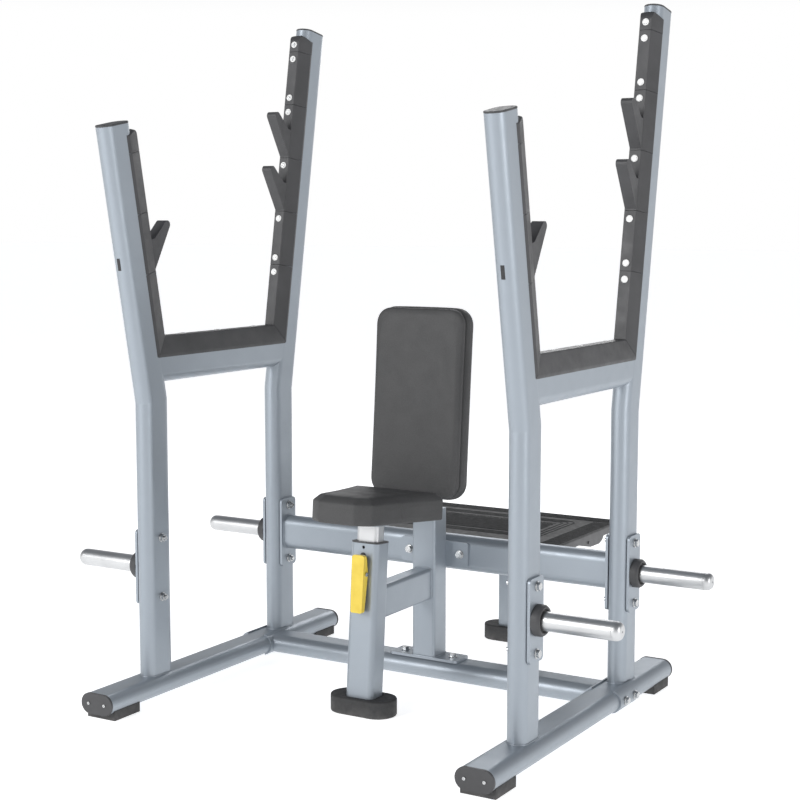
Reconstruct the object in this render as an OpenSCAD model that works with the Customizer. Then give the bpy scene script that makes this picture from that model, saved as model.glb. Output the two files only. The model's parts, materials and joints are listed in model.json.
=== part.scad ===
// Olympic seated press bench: a four-upright bar rack with a fixed back pad,
// a height-adjustable seat, four plate-storage horns and a spotter platform.
// Millimetres. X runs across the rack, Y from front to rear, Z up.
// The origin is on the floor, below the centre of the whole footprint.

/* [Side frames] */
// Distance between the centre planes of the two side frames
frame_spacing = 1200; // [1120:10:1300]
// Length of a floor rail between its end caps
rail_length = 1146; // [1120:2:1200]
// Long side of the flat-oval frame tube
tube_deep = 108; // [104:1:112]
// Short side of the flat-oval frame tube
tube_wide = 58; // [56:1:60]
// Wall of every steel tube
tube_wall = 3; // [2:0.5:4]
// Height of the rubber feet under the rails
rail_lift = 17; // [14:1:22]

/* [Uprights] */
// Front upright's axis, behind the front face of the rail caps
front_setback = 261; // [240:1:280]
// Distance from the front upright's axis to the rear upright's axis
upright_pitch = 634; // [620:2:660]
// Height where the front upright bends forward
front_bend = 878; // [870:1:900]
// Forward lean of the front upright's upper part
front_lean = 10.7; // [9:0.1:12]
// Length of the front upright above its bend
front_arm = 790; // [785:1:820]
// Height where the rear upright bends rearward
rear_bend = 858; // [850:1:870]
// Rearward lean of the rear upright's upper part
rear_lean = 9.7; // [8:0.1:11]
// Length of the rear upright above its bend
rear_arm = 1148; // [1146:1:1180]
// Centre height of the tube that joins the two uprights of a side
cross_height = 982; // [970:1:990]

/* [Liners and hooks] */
// Distance from the tube's centre to the liner's wear face
liner_reach = 80; // [76:1:84]
// Width of the liner's wear face
liner_face = 34; // [30:1:38]
// Pitch of the liner segments along the upright
segment_pitch = 171; // [168:1:172]
// Opening between two neighbouring liner segments
seam = 1.2; // [0.8:0.1:2]
// How far a hook's tip stands out from the wear face
hook_reach = 90; // [80:1:95]
// Height of a hook's tip above the lower end of its segment
hook_rise = 129; // [125:1:132]

/* [Weight horns] */
// Height of the four horn axes
horn_height = 392; // [385:1:400]
// Diameter of a horn
horn_d = 50; // [48:0.5:50]
// Distance from the side frame's centre plane to a horn's tip
horn_reach = 271; // [240:1:290]

/* [Seat and back pad] */
// Rearward lean of the seat post and the back pad
recline = 4.5; // [3:0.1:6]
// Seat post's axis where it meets the floor, behind the front face of the rail caps
post_setback = 452; // [445:1:460]
// Length of the seat post's outer sleeve, from the floor
sleeve_length = 487; // [485:1:500]
// Length of chromed seat post that shows at the lowest seat position
post_showing = 55; // [45:1:60]
// Seat pad's thickness
seat_thick = 78; // [70:1:85]
// Seat pad's length
seat_long = 344; // [320:2:350]
// Seat pad's width at its front
seat_front_wide = 216; // [200:2:230]
// Seat pad's width at its rear
seat_rear_wide = 316; // [290:2:320]
// Back pad's width
pad_wide = 300; // [280:2:320]
// Back pad's length
pad_long = 565; // [540:5:600]
// Back pad's thickness
pad_thick = 60; // [55:1:60]

/* [Spotter platform] */
// Width of the platform
deck_wide = 740; // [700:10:800]
// Height of the platform's tread
deck_height = 432; // [425:1:435]
// Depth of the platform, from the upper beam to its rear edge
deck_deep = 497; // [480:1:500]

/* [Hidden] */
$fn = 64;

// Colours
paint = [0.63, 0.68, 0.74];
black = [0.16, 0.16, 0.17];
rubber = [0.10, 0.10, 0.10];
chrome = [0.86, 0.87, 0.88];
zinc = [0.72, 0.73, 0.74];
yellow = [0.93, 0.80, 0.25];
white = [0.95, 0.95, 0.95];

// General clearances
gap = 0.1;
slip = 0.3;
past = 1;

// Floor plan: the rear foot sets the footprint's rear edge, the rail caps its front edge
foot_wide = 196;
foot_deep = 100;
foot_high = 50;
cap_thick = 7;
leg_setback = 1386;
footprint_deep = leg_setback + foot_deep / 2;
front_edge = -footprint_deep / 2;
side_x = frame_spacing / 2;
front_y = front_edge + front_setback;
rear_y = front_y + upright_pitch;
leg_y = front_edge + leg_setback;
rail_z = rail_lift + tube_wide / 2;
rail_top = rail_lift + tube_wide;
rail_mid_y = front_edge + cap_thick + rail_length / 2;

// Centre column and beams
column_wide = 78;
column_deep = 76;
column_round = 8;
column_y = rear_y - tube_wide / 2 - column_deep / 2;
column_top = 525;
column_lid = 6;
pad_post_wide = 66;
pad_post_deep = 60;
plate_thick = 8;
end_plate_deep = 78;
end_plate_high = 220;
end_plate_round = 12;
bolt_r = 6;
bolt_hole_r = 6.2;
horn_bolt_rise = 87;
saddle_thick = 5;
saddle_half = 66;
saddle_bolt_y = 33;
// The saddles start clear of the uprights' sides
saddle_start = 32;
base_plate_wide = 232;
base_bolt_x = 83;
ear_bolt_x = 88;
ear_high = 76;
deck_bolt_x = 62;
upper_beam_z = horn_height;

// Seat post and lock
sleeve_wide = 90;
sleeve_deep = 72;
sleeve_round = 16;
post_wide = 70;
post_deep = 46;
post_round = 12;
bush_flange = 4;
bush_deep = 70;
seat_level = sleeve_length + bush_flange + post_showing;
seat_plate_thick = 6;
post_length = 396;
post_y = front_edge + post_setback;
hole_pitch = 40;
pivot_s = 402;
pivot_q = -49;
lock_drop = 34;
lock_s = pivot_s - lock_drop;
lock_r = 5;
sleeve_floor = 12;
// Small hole in the sleeve's front, below its rim
peep_drop = 11;
peep_r = 4.5;
post_foot_grow = 4;

// Back pad
pad_base_z = 578;
pad_front_y = front_edge + 718;
board_thick = 12;
strap_thick = 5;
strap_heights = [110, 360];

// Platform
deck_front = rear_y + tube_wide / 2 + 4;
mat_thick = 6;
tray_thick = 3;
tray_lip = 20;
tray_z = deck_height - mat_thick - tray_thick;
spine_high = 50;
crossbar_deep = 80;
crossbar_high = 34;
crossbar_y = front_edge + 1218;

// ---------- outlines ----------

// Flat-oval outline, wide along X and deep along Y, with round fore and aft edges
module oval(wide, deep) {
    square([wide, deep - wide], center = true);
    for (end = [-1, 1])
        translate([0, end * (deep - wide) / 2])
            circle(d = wide);
}

// Rectangle with round corners
module rounded(wide, deep, r) {
    square([wide - 2 * r, deep], center = true);
    square([wide, deep - 2 * r], center = true);
    for (x = [-1, 1], y = [-1, 1])
        translate([x * (wide / 2 - r), y * (deep / 2 - r)])
            circle(r = r);
}

module frame_outline(grow = 0)
    oval(tube_wide + 2 * grow, tube_deep + 2 * grow);

module column_outline(grow = 0)
    rounded(column_wide + 2 * grow, column_deep + 2 * grow, column_round + grow);

module sleeve_outline(grow = 0)
    rounded(sleeve_wide + 2 * grow, sleeve_deep + 2 * grow, sleeve_round + grow);

module post_outline(grow = 0)
    rounded(post_wide + 2 * grow, post_deep + 2 * grow, post_round + grow);

// ---------- placing ----------

// Outline drawn in the YZ plane and given a thickness along X
module across(thick, centre = true)
    rotate([90, 0, 90])
        linear_extrude(thick, center = centre)
            children();

// Cylinder along X from x0 to x1
module rod_x(r, x0, x1)
    translate([x0, 0, 0])
        rotate([0, 90, 0])
            cylinder(r = r, h = x1 - x0);

// Cylinder along Y from y0 to y1
module rod_y(r, y0, y1)
    translate([0, y0, 0])
        rotate([-90, 0, 0])
            cylinder(r = r, h = y1 - y0);

// Axes of a leaning upper tube: Y square to it and rearward, Z along it from the bend
module on_front(side)
    translate([side * side_x, front_y, front_bend])
        rotate([front_lean, 0, 0])
            children();

module on_rear(side)
    translate([side * side_x, rear_y, rear_bend])
        rotate([-rear_lean, 0, 0])
            children();

// Axes of the seat post, with Z along it from the floor
module on_post()
    translate([0, post_y, 0])
        rotate([-recline, 0, 0])
            children();

// Axes of the back pad, with Y into its front face and Z up from its lower edge
module on_pad()
    translate([0, pad_front_y, pad_base_z])
        rotate([-recline, 0, 0])
            children();

// Tube that rises from base to a mitred bend and then leans rearward
module mitred(base, bend, lean, arm) {
    turn = lean / 2;
    difference() {
        translate([0, 0, base])
            linear_extrude(bend - base + 40)
                children();
        translate([0, 0, bend])
            rotate([-turn, 0, 0])
                translate([-150, -150, 0])
                    cube(300);
    }
    difference() {
        translate([0, 0, bend])
            rotate([-lean, 0, 0])
                translate([0, 0, -40])
                    linear_extrude(arm + 40)
                        children();
        translate([0, 0, bend])
            rotate([-turn, 0, 0])
                translate([-150, -150, -300])
                    cube(300);
    }
}

// ---------- fasteners ----------

// Hex bolt along +Z with its washer's face at the origin and its shank below it
module hex_bolt(grip) {
    cylinder(r = 13, h = 2.5);
    translate([0, 0, 2.5])
        cylinder(r = 11, h = 8, $fn = 6);
    translate([0, 0, -grip])
        cylinder(r = bolt_r, h = grip + past);
}

// Hex nut and washer along +Z for a shank of bolt_r
module hex_nut() {
    difference() {
        union() {
            cylinder(r = 13, h = 2.5);
            translate([0, 0, 2.5])
                cylinder(r = 11, h = 9, $fn = 6);
        }
        translate([0, 0, -past])
            cylinder(r = bolt_r + 0.05, h = 14);
    }
}

// Small pan-head screw along +Z with its seat at the origin
module pan_screw(head_r, head_high, shank_r, shank_long) {
    difference() {
        cylinder(r = head_r, h = head_high);
        translate([0, 0, head_high - 1])
            cylinder(r = head_r * 0.45, h = 2, $fn = 6);
    }
    translate([0, 0, -shank_long])
        cylinder(r = shank_r, h = shank_long + 0.5);
}

// ---------- floor rails ----------

module rail_bar(grow, y0, y1)
    translate([0, y0, rail_z])
        rotate([-90, 0, 0])
            linear_extrude(y1 - y0)
                rotate(90)
                    frame_outline(grow);

module saddle_bolt_places()
    for (y = [-1, 1])
        translate([0, column_y + y * saddle_bolt_y, rail_z])
            children();

module rail(side) {
    color(paint)
    translate([side * side_x, 0, 0])
        difference() {
            rail_bar(0, rail_mid_y - rail_length / 2, rail_mid_y + rail_length / 2);
            rail_bar(-tube_wall, rail_mid_y - rail_length, rail_mid_y + rail_length);
            saddle_bolt_places()
                rod_x(bolt_hole_r, -tube_deep, tube_deep);
        }
}

module rail_end_caps() {
    color(black)
    for (side = [-1, 1], end = [-1, 1])
        translate([side * side_x, rail_mid_y + end * rail_length / 2, 0])
            mirror([0, end > 0 ? 1 : 0, 0])
                difference() {
                    union() {
                        rail_bar(1, -cap_thick, 0);
                        rail_bar(-tube_wall - gap, -past, 14);
                    }
                    for (x = [-28, 28])
                        translate([x, 0, rail_z])
                            rod_y(2.1, -20, 20);
                }
}

module rail_cap_screws() {
    color(zinc)
    for (side = [-1, 1], end = [-1, 1], x = [-28, 28])
        translate([side * side_x + x, rail_mid_y + end * (rail_length / 2 + cap_thick), rail_z])
            rotate([-90 * end, 0, 0])
                pan_screw(4.5, 2.4, 2, 16);
}

module rail_feet() {
    foot_half = 49.5;
    foot_long = 109;
    foot_inset = 19;
    color(rubber)
    for (side = [-1, 1], end = [-1, 1])
        translate([side * side_x, rail_mid_y, 0])
            mirror([0, end > 0 ? 1 : 0, 0])
                difference() {
                    translate([-foot_half, -rail_length / 2 - cap_thick + foot_inset, 0])
                        cube([2 * foot_half, foot_long, rail_lift + 12]);
                    rail_bar(gap, -rail_length, 0);
                }
}

// ---------- uprights ----------

module frame_ring()
    difference() {
        frame_outline();
        frame_outline(-tube_wall);
    }

module horn_bolt_places(y)
    for (z = [-1, 1])
        translate([0, y, horn_height + z * horn_bolt_rise])
            children();

// Seam positions along the leaning tubes, from the top down
front_seams = [for (k = [0:2]) 706 - k * segment_pitch];
rear_seams = [for (k = [0:4]) 1070 - k * segment_pitch];
front_liner_top = 772;
rear_liner_top = 1129;
crown_r = 36;
rear_hook_segments = [1, 2];

// Screws sit 23 mm from each seam, and a hook segment has one at its upper end only
screw_inset = 23;
front_screws = [
    front_seams[0] + screw_inset,
    front_seams[0] - screw_inset,
    front_seams[1] + screw_inset,
    front_seams[1] - screw_inset,
    front_seams[2] - screw_inset];
rear_screws = [
    rear_seams[0] + screw_inset,
    rear_seams[0] - screw_inset,
    rear_seams[1] + screw_inset,
    rear_seams[1] - screw_inset,
    rear_seams[2] - screw_inset,
    rear_seams[3] - screw_inset,
    rear_seams[4] + screw_inset,
    rear_seams[4] - screw_inset];

slot_low = 392;
slot_long = 35;
slot_wide = 11;

module front_upright(side) {
    color(paint)
    difference() {
        translate([side * side_x, front_y, 0])
            mirror([0, 1, 0])
                mitred(rail_top, front_bend, front_lean, front_arm)
                    frame_ring();
        translate([side * side_x, 0, 0])
            horn_bolt_places(front_y)
                rod_x(bolt_hole_r, -tube_wide, tube_wide);
        on_front(side) {
            translate([0, -tube_deep / 2, slot_low + slot_long / 2])
                cube([slot_wide + 2 * gap, 12, slot_long + 2 * gap], center = true);
            for (s = front_screws)
                translate([0, 0, s])
                    rod_y(3.2, tube_deep / 4, tube_deep);
        }
    }
}

module rear_upright(side) {
    color(paint)
    difference() {
        translate([side * side_x, rear_y, 0])
            mitred(rail_top, rear_bend, rear_lean, rear_arm)
                frame_ring();
        translate([side * side_x, 0, 0])
            horn_bolt_places(rear_y)
                rod_x(bolt_hole_r, -tube_wide, tube_wide);
        on_rear(side)
            for (s = rear_screws)
                translate([0, 0, s])
                    rod_y(3.2, -tube_deep, -tube_deep / 4);
    }
}

module upright_cap()
    union() {
        linear_extrude(5)
            frame_outline(0.5);
        translate([0, 0, -14])
            linear_extrude(15)
                frame_outline(-tube_wall - gap);
    }

module upright_caps() {
    color(black)
    for (side = [-1, 1]) {
        on_front(side)
            translate([0, 0, front_arm])
                upright_cap();
        on_rear(side)
            translate([0, 0, rear_arm])
                upright_cap();
    }
}

module upright_slot_plugs() {
    color(rubber)
    for (side = [-1, 1])
        on_front(side)
            translate([-slot_wide / 2, -tube_deep / 2 - 0.3, slot_low])
                cube([slot_wide, 5.5, slot_long]);
}

// ---------- tubes between the uprights of a side ----------

// Slightly narrower than the uprights it is welded to
module cross_ring()
    difference() {
        frame_outline(-0.5);
        frame_outline(-0.5 - tube_wall);
    }

// Outer solids of the two leaning tubes, for cutting what meets them
module leaning_solids(grow = 0) {
    translate([0, front_y, front_bend])
        rotate([front_lean, 0, 0])
            linear_extrude(300)
                frame_outline(grow);
    translate([0, rear_y, rear_bend])
        rotate([-rear_lean, 0, 0])
            linear_extrude(300)
                frame_outline(grow);
}

cross_screw_y = [front_y + 150, (front_y + rear_y) / 2, rear_y - 130];

module cross_tube(side) {
    color(paint)
    translate([side * side_x, 0, 0])
        difference() {
            translate([0, front_y - 15, cross_height])
                rotate([-90, 0, 0])
                    linear_extrude(upright_pitch + 35)
                        cross_ring();
            leaning_solids();
            for (y = cross_screw_y)
                translate([0, y, cross_height])
                    cylinder(r = 3.2, h = tube_deep);
        }
}

// ---------- plastic liners ----------

// Section of a liner around the rear edge of a tube
module liner_section()
    difference() {
        polygon([
            [tube_wide / 2 + gap, 20],
            [32.5, 30],
            [liner_face / 2 + 2, liner_reach - 3],
            [liner_face / 2 - 1, liner_reach],
            [-liner_face / 2 + 1, liner_reach],
            [-liner_face / 2 - 2, liner_reach - 3],
            [-32.5, 30],
            [-tube_wide / 2 - gap, 20]]);
        frame_outline(gap);
    }

module liner_run(low, high)
    translate([0, 0, low])
        linear_extrude(high - low)
            liner_section();

// Uppermost liner segment, with its outer end rounded over outwards and sideways
module liner_end(low, high) {
    round_r = liner_reach - tube_deep / 2 + 3;
    intersection() {
        liner_run(low, high);
        union() {
            translate([0, 0, high - crown_r])
                rod_y(crown_r, 0, 120);
            translate([-60, 0, low])
                cube([120, 120, high - crown_r - low]);
        }
        union() {
            translate([-60, 0, low])
                cube([120, 120, high - round_r - low]);
            translate([0, liner_reach - round_r, high - round_r])
                rod_x(round_r, -60, 60);
            translate([-60, 0, low])
                cube([120, liner_reach - round_r, high - low]);
        }
    }
}

// Touching point on a circle of radius r round c of the line from p, on the given hand
function touch(p, c, r, hand) =
    let (v = c - p, d = norm(v), a = atan2(v[1], v[0]) + hand * asin(r / d), l = sqrt(d * d - r * r))
    p + l * [cos(a), sin(a)];

// Bar hook that stands out from the wear face above the given segment end
module hook(low) {
    tip_r = 12;
    root = [liner_reach - 1, low + 3];
    notch = [liner_reach + 14, low + 89];
    tip = [liner_reach + hook_reach - tip_r, low + hook_rise - tip_r];
    across(liner_face) {
        polygon([
            root,
            touch(root, tip, tip_r, -1),
            tip,
            touch(notch, tip, tip_r, 1),
            notch,
            [liner_reach - 1, low + 89]]);
        translate(tip)
            circle(r = tip_r);
    }
}

// Half space on the level liner's side of the mitre with a liner that leans forward above it
module mitre_cut(lean)
    rotate([-(90 - lean) / 2, 0, 0])
        translate([-100, 0, -1200])
            cube([200, 1200, 2400]);

// Where the wear faces of the leaning and level liners meet, along the leaning tube
function corner_s(bend, lean) =
    (cross_height + liner_reach - bend - liner_reach * sin(lean)) / cos(lean);

module at_front_corner()
    translate([0, front_y, front_bend])
        rotate([front_lean, 0, 0])
            translate([0, liner_reach, corner_s(front_bend, front_lean)])
                rotate([-front_lean, 0, 0])
                    children();

module at_rear_corner()
    translate([0, rear_y, rear_bend])
        rotate([-rear_lean, 0, 0])
            translate([0, -liner_reach, corner_s(rear_bend, rear_lean)])
                rotate([rear_lean, 0, 0])
                    children();

module screw_bores(places, r = 3.2)
    for (s = places)
        translate([0, 0, s])
            rod_y(r, 20, 120);

module front_liner(side) {
    color(black) {
        on_front(side)
            difference() {
                union() {
                    liner_end(front_seams[0] + seam, front_liner_top);
                    liner_run(front_seams[1] + seam, front_seams[0]);
                }
                screw_bores(front_screws);
            }
        difference() {
            on_front(side)
                difference() {
                    liner_run(20, front_seams[2]);
                    screw_bores(front_screws);
                }
            translate([side * side_x, 0, seam])
                at_front_corner()
                    mitre_cut(front_lean);
        }
    }
}

module front_hook(side) {
    color(black)
    on_front(side)
        difference() {
            union() {
                liner_run(front_seams[2] + seam, front_seams[1]);
                hook(front_seams[2] + seam);
            }
            screw_bores(front_screws);
        }
}

module rear_liner(side) {
    color(black) {
        on_rear(side)
            mirror([0, 1, 0])
                difference() {
                    union() {
                        liner_end(rear_seams[0] + seam, rear_liner_top);
                        liner_run(rear_seams[1] + seam, rear_seams[0]);
                        liner_run(rear_seams[4] + seam, rear_seams[3]);
                    }
                    screw_bores(rear_screws);
                }
        difference() {
            on_rear(side)
                mirror([0, 1, 0])
                    difference() {
                        liner_run(60, rear_seams[4]);
                        screw_bores(rear_screws);
                    }
            translate([side * side_x, 0, seam])
                at_rear_corner()
                    mirror([0, 1, 0])
                        mitre_cut(rear_lean);
        }
    }
}

module rear_hooks(side) {
    color(black)
    on_rear(side)
        mirror([0, 1, 0])
            difference() {
                for (k = rear_hook_segments) {
                    liner_run(rear_seams[k + 1] + seam, rear_seams[k]);
                    hook(rear_seams[k + 1] + seam);
                }
                screw_bores(rear_screws);
            }
}

module cross_liner(side) {
    color(black)
    translate([side * side_x, 0, 0])
        difference() {
            intersection() {
                translate([0, front_y, cross_height])
                    rotate([90, 0, 180])
                        linear_extrude(upright_pitch)
                            liner_section();
                at_front_corner()
                    mitre_cut(front_lean);
                at_rear_corner()
                    mirror([0, 1, 0])
                        mitre_cut(rear_lean);
            }
            leaning_solids(gap);
            for (y = cross_screw_y)
                translate([0, y, cross_height])
                    cylinder(r = 3.2, h = 2 * tube_deep);
        }
}

// Places of every liner screw, with Z out of the wear face
module liner_screw_places()
    for (side = [-1, 1]) {
        on_front(side)
            for (s = front_screws)
                translate([0, liner_reach, s])
                    rotate([-90, 0, 0])
                        children();
        on_rear(side)
            for (s = rear_screws)
                translate([0, -liner_reach, s])
                    rotate([90, 0, 0])
                        children();
        for (y = cross_screw_y)
            translate([side * side_x, y, cross_height + liner_reach])
                children();
    }

washer_high = 2.4;

module liner_screws() {
    color(zinc)
    liner_screw_places()
        pan_screw(5.2, 3, 3, 34);
}

module liner_washers() {
    color(white)
    liner_screw_places()
        difference() {
            cylinder(r = 10, h = washer_high);
            translate([0, 0, -past])
                cylinder(r = 5.4, h = washer_high + 2 * past);
        }
}

// ---------- floor beam ----------

// Saddle shell round one side of a rail: hand -1 is the rail's -X side
module saddle(hand)
    intersection() {
        difference() {
            rail_bar(saddle_thick, column_y - saddle_half, column_y + saddle_half);
            rail_bar(gap / 2, column_y - saddle_half - past, column_y + saddle_half + past);
        }
        translate([hand * (saddle_start + 50), column_y, rail_z])
            cube([100, 4 * saddle_half, 2 * tube_deep], center = true);
    }

module beam_bar(grow, z)
    translate([-side_x, column_y, z])
        rotate([90, 0, 90])
            linear_extrude(frame_spacing)
                rotate(90)
                    frame_outline(grow);

module floor_beam() {
    color(paint)
    difference() {
        union() {
            difference() {
                beam_bar(0, rail_z);
                beam_bar(-tube_wall, rail_z);
                for (side = [-1, 1])
                    translate([side * side_x, 0, 0])
                        rail_bar(saddle_thick - 0.5, column_y - 200, column_y + 200);
            }
            for (side = [-1, 1])
                translate([side * side_x, 0, 0])
                    saddle(-side);
        }
        for (x = [-1, 1])
            translate([x * base_bolt_x, column_y, rail_z])
                cylinder(r = bolt_hole_r, h = tube_deep);
        saddle_bolt_places()
            rod_x(bolt_hole_r, -side_x, side_x);
    }
}

module rail_saddles() {
    color(paint)
    difference() {
        for (side = [-1, 1])
            translate([side * side_x, 0, 0])
                saddle(side);
        saddle_bolt_places()
            rod_x(bolt_hole_r, -side_x - tube_deep, side_x + tube_deep);
    }
}

// Bolts of the saddles, the column's base and ears, and the platform's flange
module frame_bolts() {
    saddle_face = side_x + tube_deep / 2 + saddle_thick;
    color(zinc) {
        for (side = [-1, 1])
            saddle_bolt_places()
                translate([side * saddle_face, 0, 0])
                    rotate([0, side * 90, 0])
                        hex_bolt(tube_deep + 24);
        for (x = [-1, 1]) {
            translate([x * base_bolt_x, column_y, rail_top + plate_thick])
                hex_bolt(30);
            translate([x * ear_bolt_x, rear_y - tube_wide / 2 - plate_thick, upper_beam_z])
                rotate([90, 0, 0])
                    hex_bolt(30);
            translate([x * deck_bolt_x, rear_y + tube_wide / 2 + plate_thick, upper_beam_z])
                rotate([-90, 0, 0])
                    hex_bolt(30);
        }
    }
}

// ---------- upper beam ----------

module end_plate(x0)
    translate([x0, 0, horn_height])
        rotate([90, 0, 90])
            linear_extrude(plate_thick)
                rounded(end_plate_deep, end_plate_high, end_plate_round);

module upper_bar(grow, half)
    translate([-half, rear_y, upper_beam_z])
        rotate([90, 0, 90])
            linear_extrude(2 * half)
                frame_outline(grow);

upright_inner_x = side_x - tube_wide / 2;
upright_outer_x = side_x + tube_wide / 2;

module upper_beam() {
    half = upright_inner_x - plate_thick;
    color(paint)
    difference() {
        union() {
            difference() {
                upper_bar(0, half);
                upper_bar(-tube_wall, half + past);
            }
            for (side = [-1, 1])
                translate([side * (upright_inner_x - plate_thick / 2) - plate_thick / 2, rear_y, 0])
                    end_plate(0);
        }
        horn_bolt_places(rear_y)
            rod_x(bolt_hole_r, -side_x, side_x);
        for (x = [-1, 1]) {
            translate([x * ear_bolt_x, rear_y, upper_beam_z])
                rod_y(bolt_hole_r, -tube_wide, 0);
            translate([x * deck_bolt_x, rear_y, upper_beam_z])
                rod_y(bolt_hole_r, 0, tube_wide);
        }
    }
}

// ---------- weight horns ----------

module horn_places()
    for (side = [-1, 1], y = [front_y, rear_y])
        translate([0, y, 0])
            mirror([side < 0 ? 1 : 0, 0, 0])
                children();

module horn_plates() {
    color(paint)
    horn_places()
        difference() {
            end_plate(upright_outer_x);
            horn_bolt_places(0)
                rod_x(bolt_hole_r, 0, side_x + tube_deep);
        }
}

module horn_bolts() {
    color(zinc)
    for (side = [-1, 1], rear = [0, 1])
        translate([0, rear == 1 ? rear_y : front_y, 0])
            mirror([side < 0 ? 1 : 0, 0, 0])
                horn_bolt_places(0)
                    translate([upright_outer_x + plate_thick, 0, 0])
                        rotate([0, 90, 0])
                            hex_bolt(tube_wide + plate_thick * (1 + rear) + 18);
}

module horn_nuts() {
    color(zinc)
    for (side = [-1, 1], rear = [0, 1])
        translate([0, rear == 1 ? rear_y : front_y, 0])
            mirror([side < 0 ? 1 : 0, 0, 0])
                horn_bolt_places(0)
                    translate([upright_inner_x - rear * plate_thick, 0, 0])
                        rotate([0, -90, 0])
                            hex_nut();
}

end_cap_long = 22;
end_cap_straight = 5;
end_cap_play = 0.3;
end_cap_hole_r = 2.5;
end_cap_flat_r = 12;
collar_long = 25;
collar_recess = 8;
horn_wall = 4;
// The horn is 1 mm slimmer inside its collar
root_step = 1;
horn_root = upright_outer_x + plate_thick;
horn_stop = side_x + horn_reach - end_cap_long;

module horn(side, y) {
    color(chrome)
    mirror([side < 0 ? 1 : 0, 0, 0])
        translate([0, y, horn_height])
            difference() {
                union() {
                    rod_x(horn_d / 2 - root_step, horn_root, horn_root + collar_long + 1);
                    rod_x(horn_d / 2, horn_root + collar_long, horn_stop);
                }
                rod_x(horn_d / 2 - horn_wall, horn_root + 10, horn_stop + past);
            }
}

module horn_collars() {
    bore_r = horn_d / 2 - root_step + gap;
    color(black)
    horn_places()
        translate([horn_root, 0, horn_height])
            rotate([0, 90, 0])
                rotate_extrude()
                    polygon([
                        [bore_r, 0],
                        [41, 0],
                        [41, collar_long - 7],
                        [36.5, collar_long],
                        [31.5, collar_long],
                        [28, collar_long - collar_recess],
                        [bore_r, collar_long - collar_recess]]);
}

module horn_end_caps() {
    plug_r = horn_d / 2 - horn_wall - gap;
    dome_r = horn_d / 2 - end_cap_play - end_cap_flat_r;
    dome_long = end_cap_long - end_cap_straight;
    color(chrome)
    horn_places()
        translate([horn_stop, 0, horn_height])
            rotate([0, 90, 0])
                difference() {
                    rotate_extrude()
                        polygon(concat(
                            [[0, -12], [plug_r, -12], [plug_r, 0], [horn_d / 2 - end_cap_play, 0]],
                            [for (t = [0:15:90])
                                [end_cap_flat_r + dome_r * cos(t), end_cap_straight + dome_long * sin(t)]],
                            [[0, end_cap_long]]));
                    translate([0, 0, end_cap_long - 6])
                        cylinder(r = end_cap_hole_r, h = 20);
                }
}

// ---------- centre column and link ----------

module column_ring()
    difference() {
        column_outline();
        column_outline(-tube_wall);
    }

// Leaning tube that carries the back pad, standing on the column's lid
module pad_post() {
    high = strap_heights[1] + 50;
    difference() {
        on_pad()
            translate([0, pad_back + strap_thick + pad_post_deep / 2, 0]) {
                translate([0, 0, -60])
                    linear_extrude(high + 60)
                        difference() {
                            rounded(pad_post_wide, pad_post_deep, column_round);
                            rounded(pad_post_wide - 6, pad_post_deep - 6, column_round - 3);
                        }
                translate([0, 0, high])
                    linear_extrude(4)
                        rounded(pad_post_wide, pad_post_deep, column_round);
            }
        translate([-100, column_y - 100, column_top + column_lid / 2 - 200])
            cube([200, 200, 200]);
    }
}

module centre_column() {
    color(paint)
    difference() {
        union() {
            translate([0, column_y, rail_top + plate_thick])
                linear_extrude(column_top - rail_top - plate_thick)
                    column_ring();
            translate([0, column_y, column_top])
                linear_extrude(column_lid)
                    column_outline();
            pad_post();
            translate([0, column_y, rail_top])
                linear_extrude(plate_thick)
                    rounded(base_plate_wide, 80, 10);
            for (x = [-1, 1])
                translate([x * (column_wide / 2 + 31), rear_y - tube_wide / 2, upper_beam_z])
                    rotate([90, 0, 0])
                        linear_extrude(plate_thick)
                            rounded(90, ear_high, 8);
        }
        for (x = [-1, 1]) {
            translate([x * base_bolt_x, column_y, 0])
                cylinder(r = bolt_hole_r, h = rail_top + 2 * plate_thick);
            translate([x * ear_bolt_x, rear_y, upper_beam_z])
                rod_y(bolt_hole_r, -tube_deep, 0);
        }
    }
}

module link_bar(grow)
    translate([0, post_y, 308])
        rotate([-90, 0, 0])
            linear_extrude(column_y - column_deep / 2 - post_y)
                rounded(58 + 2 * grow, 96 + 2 * grow, 12 + grow);

module link_tube() {
    color(paint)
    difference() {
        link_bar(0);
        link_bar(-tube_wall);
        sleeve_bar(0);
        translate([0, column_y - column_deep / 2, 308])
            rotate([-90, 0, 0])
                linear_extrude(10)
                    square(200, center = true);
    }
}

// ---------- back pad ----------

pad_back = pad_thick + board_thick;
pad_screw_x = 75;

module back_pad() {
    color(black)
    on_pad()
        translate([0, pad_thick, pad_long / 2])
            rotate([90, 0, 0])
                linear_extrude(pad_thick)
                    rounded(pad_wide, pad_long, 52);
}

module pad_screw_places()
    for (x = [-1, 1], z = strap_heights)
        translate([x * pad_screw_x, pad_back + strap_thick, z])
            rotate([-90, 0, 0])
                children();

module back_pad_board() {
    color(black)
    on_pad()
        difference() {
            translate([0, pad_back, pad_long / 2])
                rotate([90, 0, 0])
                    linear_extrude(board_thick)
                        rounded(pad_wide - 30, pad_long - 30, 40);
            pad_screw_places()
                translate([0, 0, -strap_thick - 10])
                    cylinder(r = 3.1, h = 20);
        }
}

module back_pad_brackets() {
    color(paint)
    on_pad()
        difference() {
            for (z = strap_heights)
                translate([0, pad_back + strap_thick, z])
                    rotate([90, 0, 0])
                        linear_extrude(strap_thick)
                            rounded(190, 44, 6);
            pad_screw_places()
                translate([0, 0, -10])
                    cylinder(r = 3.2, h = 20);
        }
}

module back_pad_screws() {
    color(zinc)
    on_pad()
        pad_screw_places()
            pan_screw(6, 3.5, 3, 14);
}

// ---------- seat post ----------

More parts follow.
